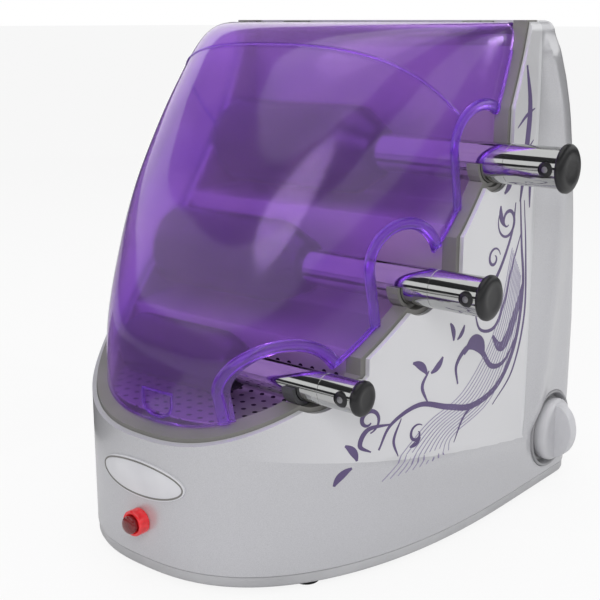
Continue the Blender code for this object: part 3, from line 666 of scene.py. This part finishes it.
def lidHalf(z):
    wide = halfWidth - lidShape["inset"]
    top = lidShape["front"][-1][0]
    drop = min(max(0.0, z - lidShape["shoulder"]) / (top - lidShape["shoulder"]), 1.0)
    return wide - (wide - lidShape["halfTop"]) * (1.0 - math.sqrt(1.0 - drop ** 2))


def lidReach(z):
    return lidShape["straightFrom"] - between(lidFrontLine, z)


def lidX(y, z):  # outer face of the lid on its right-hand side
    return lidHalf(z) * fullness((lidShape["straightFrom"] - y) / lidReach(z))


def lidY(x, z):  # outer face of the lid at the front
    return lidShape["straightFrom"] - lidReach(z) * fullness(abs(x) / lidHalf(z))


def lidFacing(y, z):  # outward direction on the right-hand side
    return Vector((1.0, lidX(y - 0.5, z) - lidX(y + 0.5, z), lidX(y, z - 0.5) - lidX(y, z + 0.5)))


def makeLid():
    shape, steps = lidShape, lidShape["steps"]
    straight, back, top = shape["straightFrom"], shape["backEdge"], shape["halfTop"]
    rings = []
    for z, front in lidFrontLine:
        half = lidHalf(z)
        plan = [nosePoint(math.pi * i / steps, half, straight, straight - front) for i in range(steps + 1)]
        rings.append([(x, y, z) for x, y in [(-half, back)] + plan + [(half, back)]])
    lid = addPiece("lidBubble", stitched(rings, False), "lid", "lid", ["lid"], 30.0)
    thick = lid.modifiers.new("wall", "SOLIDIFY")
    thick.thickness, thick.offset, thick.use_even_offset = shape["wall"] * mm, -1.0, False
    applyAll(lid)
    edge = shifted(rimLine, -shape["overRim"])
    low = [(beyond["front"], 0.0), (beyond["front"], edge[0][1] - casing["frontFall"])]
    rear = [(edge[-1][0], beyond["top"]), (beyond["rear"], beyond["top"]), (beyond["rear"], 0.0)]
    for start, end in ((-200.0, -top - 1.0), (top + 1.0, 200.0)):
        carve(lid, prism(low + edge + rear, start, end))
    lower = low + [point for point in edge if point[1] < 310.0] + [(75.0, 330.0), (75.0, 0.0)]
    carve(lid, prism(lower, -top - 2.0, top + 2.0))
    for key, spec in rollerSpecs.items():
        y, z, radius = spec["scallop"]
        arch = arc((y, z), (radius, radius), 40) + [(y - radius + 5.0, z - 60.0), (y + radius, z - 60.0)]
        carve(lid, prism(arch, 30.0, 200.0))
    (x, z), wide, top = shape["gripAt"], shape["gripRadii"][0], shape["gripTop"]
    dish = arc((x, z), shape["gripRadii"], 20, math.pi) + [(x + wide, top), (x - wide, top)]
    carve(lid, prism(dish, -172.0, -163.1, "Y"))


def makeBeads():
    # rolled bead round each arch, where the handles pass through
    width, height = lidShape["bead"], 2 * lidShape["beadProud"]
    for key, spec in rollerSpecs.items():
        y, z, radius = spec["scallop"]
        radius += width / 2.0
        path = arc((y, z), (radius, radius), 60) + [(y - radius + 5.0 * k / 60.0, z - k) for k in range(1, 56)]
        path = [(a, b) for a, b in path if b > rimHeight(a) + 0.6 and a < lidShape["beadsEnd"]]
        route = [(lidX(a, b) - 0.4, a, b) for a, b in path]
        facing = [lidFacing(a, b) for a, b in path]
        addPiece("archBead_" + key, swept(route, width, height, 16, facing), "lid", "lid")


def underArch(y, z):  # near an arch, or in the gap below it
    return any(math.hypot(y - a, z - b) < radius + 3.0 or (abs(y - a) < radius + 2.0 and z < b)
               for a, b, radius in (spec["scallop"] for spec in rollerSpecs.values()))


def makeEdgeBeads():
    # a finer bead joins the arches along the lower edge of the lid, and runs on to the front and the top
    runs = [[]]
    for i in range(288):
        y = -152.0 + 0.75 * i
        z = rimHeight(y) + lidShape["edgeRise"]
        if not underArch(y, z):
            runs[-1].append((y, z))
        elif runs[-1]:
            runs.append([])
    for number, path in enumerate(runs):
        if len(path) < 4:
            continue
        route = [(lidX(y, z) - 0.2, y, z) for y, z in path]
        facing = [lidFacing(y, z) for y, z in path]
        addPiece("edgeBead_%d" % number, swept(route, *lidShape["edgeBead"], 12, facing), "lid", "lid")


def makeCrease():
    # moulded line where the front bubble meets the crown, all of it in one leaning plane
    leanY, leanZ, level = lidShape["crease"]
    archY, archZ, radius = rollerSpecs["top"]["scallop"]
    route, outward = [], []
    for i in range(161):
        low, high = 100.0, 358.0
        for halving in range(30):
            z = (low + high) / 2.0
            reach = lidReach(z)
            x, y = nosePoint(math.pi * i / 160, lidHalf(z), lidShape["straightFrom"], reach)
            low, high = (z, high) if leanY * y + leanZ * z < level else (low, z)
        inArch = x > 0.0 and math.hypot(y - archY, z - archZ) < radius + lidShape["bead"] - 1.0
        if z < rimHeight(y) + 1.5 or inArch:
            continue
        route.append((x, y, z))
        outward.append(Vector((x / lidHalf(z) ** 2, (y - lidShape["straightFrom"]) / reach ** 2,
                               0.0035 + 0.00002 * max(z - 300.0, 0.0))))
    addPiece("lidCrease", swept(route, *lidShape["creaseBead"], 10, outward), "lid", "lid")


def makeGripLip():
    # thin raised edge round the finger dish at the front of the lid
    (x, z), (wide, deep), top = lidShape["gripAt"], lidShape["gripRadii"], lidShape["gripTop"]
    left, right, side = x - wide, x + wide, top - 4.0
    outline = [(left, top), (left, side)] + arc((x, z), (wide, deep), 24, math.pi)
    outline += [(right, side), (right, top), (right - 4.0, top), (left, top)]
    route = [(a, lidY(a, b) + 0.2, b) for a, b in smoothLine(outline, 4)]
    facing = [Vector((0.0, -1.0, 0.1))] * len(route)
    addPiece("gripLip", swept(route, 2.0, 1.8, 10, facing), "lid", "lid")


plateShape = {
    "inset": 14.8, "thickness": 1.2,
    "steps": [(-170.0, 111.5), (-92.0, 111.5), (-89.6, 112.6), (-88.8, 115.0), (-84.9, 151.5), (-84.2, 153.7),
              (-82.0, 154.5), (-9.5, 154.5), (-7.0, 155.6), (-6.3, 158.0), (-4.4, 224.0), (-3.6, 226.6),
              (-1.0, 227.5), (69.0, 227.5), (72.0, 229.0), (76.0, 250.0), (77.5, 342.0)],  # (y, z)
}


def makePlate():
    line = plateShape["steps"]
    plate = addPiece("heatStep", planSolid(plateShape["inset"]), "holes", "root", ["heat_plate"])
    carve(plate, across(line + shifted(line, plateShape["thickness"])[::-1]), "INTERSECT")


print("lid and heat step")
makeLid()
makeBeads()
makeEdgeBeads()
makeCrease()
makeGripLip()
makePlate()

rollerShape = {"capThickness": 5.0, "tubeWall": 1.5, "boreDepth": 28.0, "stubRadius": 5.0, "clear": 0.3,
               "plugDepth": 1.6, "studHole": 5.2, "ringFromCap": {"top": 38.0, "middle": 35.0, "bottom": 25.0}}


def makeRoller(key):
    spec, shape, body = rollerSpecs[key], rollerShape, "roller_" + key
    y, z = spec["axis"]
    spot = (0.0, y, z)
    tube, radius, full = spec["tube"], spec["barrel"], spec["full"]
    left, right = spec["barrelEnds"]
    bore, clear, stub = right - shape["boreDepth"], shape["clear"], shape["stubRadius"]
    barrel = [(left, stub + clear), (left, radius - 3.0), (left + 0.3, radius - 1.8), (left + 0.9, radius - 0.9),
              (left + 1.8, radius - 0.3), (left + 3.0, radius), (full, radius), (full + 1.6, radius - 0.15),
              (full + 3.0, radius - 0.6), (right - 4.0, tube + 7.0), (right - 2.0, tube + 6.0),
              (right - 0.6, tube + 5.0), (right, tube + 4.0), (right, tube + clear), (bore, tube + clear),
              (bore, stub + clear)]
    addPiece("rollerBarrel_" + key, turned(barrel, spot, 96, True), "black", body, ["roller_barrel_" + key])
    end, wall = spec["end"], shape["tubeWall"]
    ring = end - shape["ringFromCap"][key]  # fine groove round the handle
    pipe = [(bore + clear, tube - wall), (bore + clear, tube), (ring - 0.4, tube), (ring - 0.2, tube - 0.35),
            (ring + 0.2, tube - 0.35), (ring + 0.4, tube), (end - 0.4, tube), (end, tube - 0.4), (end, tube - wall)]
    pipe = addPiece("handleTube_" + key, turned(pipe, spot, 112, True), "chrome", body, ["handle_tube_" + key])
    spotStud = (localCentre("handle_stud_" + key).x, y, z)
    carve(pipe, turned(rod(-tube - 5.0, -2.0, shape["studHole"]), spotStud, 48, axis="Y"))
    head = [(-tube - 0.6, 0.0), (-tube - 0.6, 1.9), (-tube - 0.55, 2.8), (-tube - 0.3, 3.6), (-tube, 4.3),
            (-tube + 0.5, 4.9), (-tube + 3.6, 4.9), (-tube + 3.6, 0.0)]
    addPiece("studHead_" + key, turned(head, spotStud, 48, axis="Y"), "cap", body, ["handle_stud_" + key])
    rivet = [(-tube - 1.0, 0.0), (-tube - 0.95, 1.2), (-tube - 0.8, 1.9), (-tube - 0.4, 2.3), (-tube, 2.3),
             (-tube, 0.0)]
    addPiece("studRivet_" + key, turned(rivet, spotStud, 32, axis="Y"), "steel", body)
    face, cap = spec["face"], spec["cap"]
    back, plug, deep = face - shape["capThickness"], tube - wall - clear, end - shape["plugDepth"]
    profile = [(face - 0.5, 0.0), (face - 0.5, cap * 0.30), (face - 0.3, cap * 0.50), (face, cap * 0.62),
               (face - 0.2, cap * 0.76), (face - 0.7, cap * 0.88), (face - 1.5, cap * 0.96), (face - 2.4, cap),
               (back + 0.9, cap), (back + 0.3, cap - 0.3), (back, cap - 0.9), (back, plug), (deep, plug), (deep, 0.0)]
    addPiece("endCap_" + key, turned(profile, spot, 112), "cap", body, ["end_cap_" + key], 40.0)


print("rollers and controls")
for key in rollerSpecs:
    makeRoller(key)

knobShape = {
    "bezel": [(130.6, 6.0), (130.6, 30.7), (137.6, 30.7), (138.2, 30.5), (138.6, 30.0), (138.6, 29.2),
              (138.2, 28.6), (134.0, 26.9), (133.0, 26.4), (133.0, 6.0)],  # (along, radius), as the dial's
    "dial": [(133.6, 3.6), (133.6, 22.0), (133.9, 23.4), (134.6, 24.1), (140.2, 24.6), (141.8, 24.4),
             (143.0, 23.6), (143.8, 22.3), (144.2, 20.5), (144.2, 0.0), (142.0, 0.0), (142.0, 3.6)],
    "gripFrom": 143.0, "gripRadii": (15.0, 21.5), "gripHalf": 5.0, "gripEdge": 1.8,
}


def makeKnob():
    y, z = jointPlace("knob_turn")
    half = knobShape["gripHalf"]
    bezel = turned(knobShape["bezel"], (0.0, y, z), 112, True)
    addPiece("knobBezel", bezel, "bezel", "root", ["knob_bezel"])
    dial = turned(knobShape["dial"], (0.0, y, z), 112, True)
    addPiece("knobDial", dial, "knob", "knob", ["knob"], 40.0)
    arch = arc((knobShape["gripFrom"], z), knobShape["gripRadii"], 48, -math.pi / 2)
    grip = addPiece("knobGrip", prism(arch, y - half, y + half, "Y"), "knob", "knob")
    soften(grip, knobShape["gripEdge"], 4, 50.0)


buttonShape = {
    "collar": [(-167.0, 6.6), (-167.0, 7.3), (-175.6, 7.3), (-175.6, 8.8), (-182.2, 8.8), (-183.0, 8.6),
               (-183.5, 8.1), (-183.6, 7.5), (-183.4, 6.9), (-182.6, 6.6)],
    "lens": [(-188.0, 0.0), (-187.9, 2.4), (-187.6, 4.2), (-187.1, 5.4), (-186.3, 6.0), (-185.6, 6.1),
             (-172.0, 6.1), (-172.0, 0.0)],
}


def makeButton():
    centre = localCentre("button_collar")
    spot = (centre.x, 0.0, centre.z)
    collar = turned(buttonShape["collar"], spot, 80, True, "Y")
    addPiece("buttonCollar", collar, "collar", "root", ["button_collar"])
    lens = turned(buttonShape["lens"], spot, 80, False, "Y")
    addPiece("buttonLens", lens, "lens", "power_button", ["power_button"])


badgeShape = {"proud": 1.3, "sunk": 0.4, "edge": 0.45, "borderInset": 1.6, "border": (1.3, 0.7)}


def makeBadge():
    (low, high), centre = localBox("badge_plate"), localCentre("badge_plate")
    rx, rz = (high.x - low.x) / 2.0, (high.z - low.z) / 2.0
    proud, inset = badgeShape["proud"], badgeShape["borderInset"]
    oval = arc((centre.x, centre.z), (rx, rz), 96, 0.0, 2 * math.pi)[:-1]
    badge = addPiece("badgeOval", prism(oval, -200.0, -140.0, "Y"), "badge", "root", ["badge_plate"])
    carve(badge, planSolid(-proud, 0.0, 200.0), "INTERSECT")
    carve(badge, planSolid(badgeShape["sunk"], 0.0, 200.0))
    soften(badge, badgeShape["edge"], 3)
    straight, reach = casing["straightFrom"], casing["straightFrom"] - noseTip + proud
    route = [(x, straight - reach * fullness(abs(x) / (halfWidth + proud)), z)
             for x, z in arc((centre.x, centre.z), (rx - inset, rz - inset), 120, 0.0, 2 * math.pi)]
    facing = [Vector((0.0, -1.0, 0.0))] * len(route)
    addPiece("badgeBorder", swept(route, *badgeShape["border"], 8, facing), "rim")


makeKnob()
makeButton()
makeBadge()

# screen print on the right-hand wall: scrolls and leaves over a fine ruled veil
printShape = {
    "ink": 0.18, "sunk": 0.5, "lowest": 60.0, "foremost": -112.0, "rearmost": 82.0, "belowRim": 9.0, "veilLines": 10,
    # bent strokes: their points (y, z) and the width at the middle
    "swooshes": (
        ([(67.0, 330.0), (74.0, 300.0), (70.0, 262.0), (66.0, 236.0)], 6.5),
        ([(58.0, 288.0), (70.0, 296.0), (81.0, 300.0)], 2.4),
        ([(62.0, 252.0), (70.0, 268.0), (81.0, 278.0)], 2.2),
        ([(66.0, 240.0), (71.0, 205.0), (76.0, 172.0), (68.0, 132.0), (46.0, 106.0), (14.0, 98.0), (-14.0, 104.0),
          (-42.0, 112.0), (-66.0, 104.0), (-76.0, 88.0)], 4.6),
        ([(72.0, 236.0), (78.0, 196.0), (80.0, 150.0), (66.0, 112.0), (40.0, 92.0)], 2.2),
        ([(60.0, 236.0), (56.0, 214.0), (38.0, 186.0), (16.0, 172.0), (4.0, 180.0), (10.0, 192.0)], 3.2),
        ([(70.0, 214.0), (58.0, 188.0), (50.0, 166.0), (38.0, 150.0), (20.0, 152.0), (12.0, 168.0)], 2.8),
        ([(76.0, 176.0), (70.0, 160.0), (56.0, 138.0), (46.0, 134.0), (36.0, 144.0)], 8.5),
        ([(72.0, 140.0), (54.0, 122.0), (36.0, 122.0), (22.0, 136.0), (6.0, 142.0), (-6.0, 132.0),
          (-4.0, 118.0)], 4.4),
        ([(2.0, 138.0), (12.0, 146.0), (22.0, 142.0), (26.0, 132.0)], 7.5),
        ([(-34.0, 111.0), (-40.0, 124.0), (-34.0, 134.0)], 2.6),
        ([(-66.0, 104.0), (-84.0, 104.0), (-90.0, 94.0), (-82.0, 88.0)], 3.4),
        ([(-58.0, 106.0), (-64.0, 92.0), (-60.0, 80.0)], 2.0),
        ([(20.0, 100.0), (4.0, 92.0), (-6.0, 76.0)], 1.8),
        ([(80.0, 230.0), (79.0, 250.0), (80.0, 264.0)], 3.6)),
    # spirals: y, z, first angle, turns, first and last radius, width
    "scrolls": ((50.0, 224.0, 2.6, 1.4, 13.0, 3.0, 2.6), (-84.0, 110.0, -1.4, 1.1, 9.0, 2.5, 3.0),
                (-44.0, 92.0, 0.8, 1.0, 7.0, 2.0, 2.2), (34.0, 200.0, 0.2, 1.15, 8.0, 2.0, 2.2)),
    # filled leaves: y, z, angle, length, width
    "leaves": ((-36.0, 132.0, 2.5, 17.0, 5.5), (-32.0, 132.0, 0.7, 15.0, 4.8), (-92.0, 84.0, 2.2, 15.0, 5.0),
               (-96.0, 80.0, 3.9, 16.0, 5.0), (-10.0, 150.0, 1.9, 14.0, 4.0), (-6.0, 150.0, 0.9, 12.0, 3.4),
               (44.0, 244.0, 1.0, 18.0, 5.5), (40.0, 236.0, -1.2, 16.0, 4.5), (-50.0, 84.0, 0.5, 11.0, 3.6)),
}
inkStrokes, fineStrokes = [], []


def onPanel(y, z):
    top = rimHeight(y) - printShape["belowRim"]
    return printShape["lowest"] < z < top and printShape["foremost"] < y < printShape["rearmost"]


def stroke(points, width, fine=False):
    # keeps the runs of points that lie on the panel; all but fine strokes are thin at both ends
    run = []
    last = max(len(points) - 1, 1)
    for i, (y, z) in enumerate(points + [(999.0, 0.0)]):
        if onPanel(y, z):
            swell = 0.25 + 0.75 * math.sin(math.pi * min(max(i / last, 0.02), 0.98))
            run.append((y, z, width if fine else width * swell))
            continue
        if len(run) > 2:
            (fineStrokes if fine else inkStrokes).append(run)
        run = []


def scroll(y, z, start, turns, big, small, width):
    count = int(60 * abs(turns)) + 8
    points = []
    for i in range(count + 1):
        t = i / count
        radius, turn = big + (small - big) * t, start + turns * 2 * math.pi * t
        points.append((y + radius * math.cos(turn), z + radius * math.sin(turn)))
    stroke(points, width)


def leaf(y, z, angle, length, wide):  # bent like a comma
    here, points = Vector((y, z)), []
    for i in range(19):
        points.append(tuple(here))
        turn = angle + 0.9 * (i / 18 - 0.5)
        here = here + Vector((math.cos(turn), math.sin(turn))) * length / 18
    stroke(points, wide)


def inkRun(run):  # one stroke as a thin solid, partly sunk in the wall
    rings = []
    proud, sunk = printShape["ink"], -printShape["sunk"]
    for i, (y, z, width) in enumerate(run):
        a, b = run[max(i - 1, 0)], run[min(i + 1, len(run) - 1)]
        along = Vector((b[0] - a[0], b[1] - a[1])).normalized() * width / 2.0
        left, right = (y - along.y, z + along.x), (y + along.y, z - along.x)
        rings.append([(wallX(*point) + rise, *point) for point, rise in
                      ((left, proud), (right, proud), (right, sunk), (left, sunk))])
    return stitched(rings)


def makePrint():
    for points, width in printShape["swooshes"]:
        stroke(smoothLine(points, 14), width)
    for data in printShape["scrolls"]:
        scroll(*data)
    for data in printShape["leaves"]:
        leaf(*data)
    for k in range(printShape["veilLines"] + 1):
        t = k / printShape["veilLines"]
        swing = smoothLine([(58.0 + 14.0 * t, 204.0 - 22.0 * t), (40.0 + 26.0 * t, 150.0 - 12.0 * t),
                            (4.0 + 34.0 * t, 112.0 - 14.0 * t), (-36.0 + 30.0 * t, 96.0 - 14.0 * t),
                            (-74.0 + 62.0 * t, 66.0 + 5.0 * t)], 9)
        stroke(swing, 0.55, True)
    for name, strokes, finish in (("printScrolls", inkStrokes, "ink"), ("printHatching", fineStrokes, "line")):
        whole = bmesh.new()
        for run in strokes:
            part, data = inkRun(run), bpy.data.meshes.new("strokeRun")
            part.to_mesh(data)
            part.free()
            whole.from_mesh(data)
            bpy.data.meshes.remove(data)
        addPiece(name, whole, finish)


print("print")
makePrint()

# kept solids get their real finishes
nodeFinish = {
    "heat_shield": "steel", "rear_cover": "tray", "power_inlet": "black", "terminal_block": "ceramic",
    "thermostat_body": "ceramic", "switch_body": "black", "indicator_lamp": "lamp", "knob_spindle": "brass",
    "lead_block_to_switch": "sleeve", "lead_block_to_thermostat": "sleeve", "lead_inlet_to_block": "sleeve"}
for side in ("left", "right"):
    for node in ("hinge_pin_", "hinge_leaf_housing_", "hinge_leaf_lid_"):
        nodeFinish[node + side] = "steel"
for key in rollerSpecs:
    nodeFinish.update({"heating_element_" + key: "steel", "roller_socket_" + key: "darkGrey",
                       "handle_cradle_" + key: "rim", "stub_axle_" + key: "steel"})
nodeFinish["handle_cradle_bottom"] = "darkGrey"
for node, finish in nodeFinish.items():
    for slot in bpy.data.objects[node].material_slots:
        slot.material = finishes[finish]

studio = {
    "floorHalf": 60.0, "floorGlow": 0.88, "fill": 0.40, "aim": (0.0, 0.0, 0.15),
    # each lamp's place, size and power
    "lamps": {"key": ((1.0, -1.6, 1.5), 1.3, 24.0), "rake": ((1.5, 1.5, 0.7), 0.6, 12.0),
              "side": ((-1.7, -0.5, 0.9), 1.0, 2.0), "top": ((-0.1, 0.1, 2.0), 1.4, 12.0)},
    # dark hoops far off give the chrome its bands; each one's lower and upper height
    "hoops": {"lowHoop": (0.05, 0.55), "highHoop": (1.5, 3.4)}, "hoopRadius": 2.4,
    # a dark card laid down to the left darkens that side of the nose
    "cardAt": (-0.78, -0.42, 0.003), "cardHalf": 0.5,
    "lens": 67.2, "camera": (0.488, -0.6318, 0.360), "tilt": 75.964, "turn": 39.5,
}


def addStage(name, mesh, material, inGlossOnly=True):
    data = bpy.data.meshes.new(name)
    mesh.to_mesh(data)
    mesh.free()
    data.materials.append(material)
    item = bpy.data.objects.new(name, data)
    bpy.context.scene.collection.objects.link(item)
    if inGlossOnly:  # seen only in polished parts
        item.visible_camera = item.visible_diffuse = item.visible_shadow = item.visible_transmission = False


def makeFloor():
    mesh = bmesh.new()
    bmesh.ops.create_grid(mesh, x_segments=2, y_segments=2, size=studio["floorHalf"])
    material, tree, shader = newMaterial("paleStudioFloor", "#e6e6e6", 0.7)
    tintBetween(tree, shader, surfaceNoise(tree, 2.0, 2.0), "#e4e4e4", "#e8e8e8")
    path = addNode(tree, "ShaderNodeLightPath")
    share = mathNode(tree, "MULTIPLY", path.outputs["Is Camera Ray"], studio["floorGlow"])
    glow = addNode(tree, "ShaderNodeEmission", Strength=1.0)
    mix = addNode(tree, "ShaderNodeMixShader", {0: share, 1: shader.outputs[0], 2: glow.outputs[0]})
    tree.links.new(mix.outputs[0], tree.nodes["Material Output"].inputs["Surface"])
    addStage("floor", mesh, material, False)


def makeWorld():  # plain white to look at, and weaker as a light
    world = bpy.data.worlds.new("studio")
    bpy.context.scene.world = world
    world.use_nodes = True
    tree = world.node_tree
    rays = addNode(tree, "ShaderNodeLightPath").outputs
    seen = mathNode(tree, "MAXIMUM", rays["Is Camera Ray"], rays["Is Glossy Ray"])
    seen = mathNode(tree, "MAXIMUM", seen, rays["Is Transmission Ray"])
    back = tree.nodes["Background"]
    back.inputs["Color"].default_value, back.inputs["Strength"].default_value = linear("#ffffff"), studio["fill"]
    white = addNode(tree, "ShaderNodeBackground", Color=linear("#ffffff"), Strength=1.0)
    mix = addNode(tree, "ShaderNodeMixShader", {0: seen, 1: back.outputs[0], 2: white.outputs[0]})
    tree.links.new(mix.outputs[0], tree.nodes["World Output"].inputs["Surface"])


def makeRoom():
    makeFloor()
    makeWorld()
    for name, (spot, size, power) in studio["lamps"].items():
        light = bpy.data.lights.new(name, "AREA")
        light.shape, light.size, light.energy = "DISK", size, power
        lamp = bpy.data.objects.new(name, light)
        lamp.location = spot
        lamp.rotation_euler = (Vector(studio["aim"]) - Vector(spot)).to_track_quat("-Z", "Y").to_euler()
        lamp.visible_glossy = False
        bpy.context.scene.collection.objects.link(lamp)
    radius = studio["hoopRadius"]
    for name, (low, high) in studio["hoops"].items():
        mesh = bmesh.new()
        bmesh.ops.create_cone(mesh, cap_ends=False, segments=64, radius1=radius, radius2=radius, depth=high - low)
        bmesh.ops.translate(mesh, verts=mesh.verts, vec=(0.0, 0.0, (low + high) / 2.0))
        addStage(name, mesh, finishes["card"])
    mesh = bmesh.new()
    bmesh.ops.create_grid(mesh, x_segments=1, y_segments=1, size=studio["cardHalf"])
    bmesh.ops.translate(mesh, verts=mesh.verts, vec=studio["cardAt"])
    addStage("lowCard", mesh, finishes["card"])
    view = bpy.data.cameras.new("camera")
    view.lens, view.sensor_width = studio["lens"], 36.0
    camera = bpy.data.objects.new("camera", view)
    camera.location = studio["camera"]
    camera.rotation_euler = (math.radians(studio["tilt"]), 0.0, math.radians(studio["turn"]))
    bpy.context.scene.collection.objects.link(camera)
    bpy.context.scene.camera = camera
    bpy.context.scene.view_settings.view_transform = "Standard"


print("room")
makeRoom()
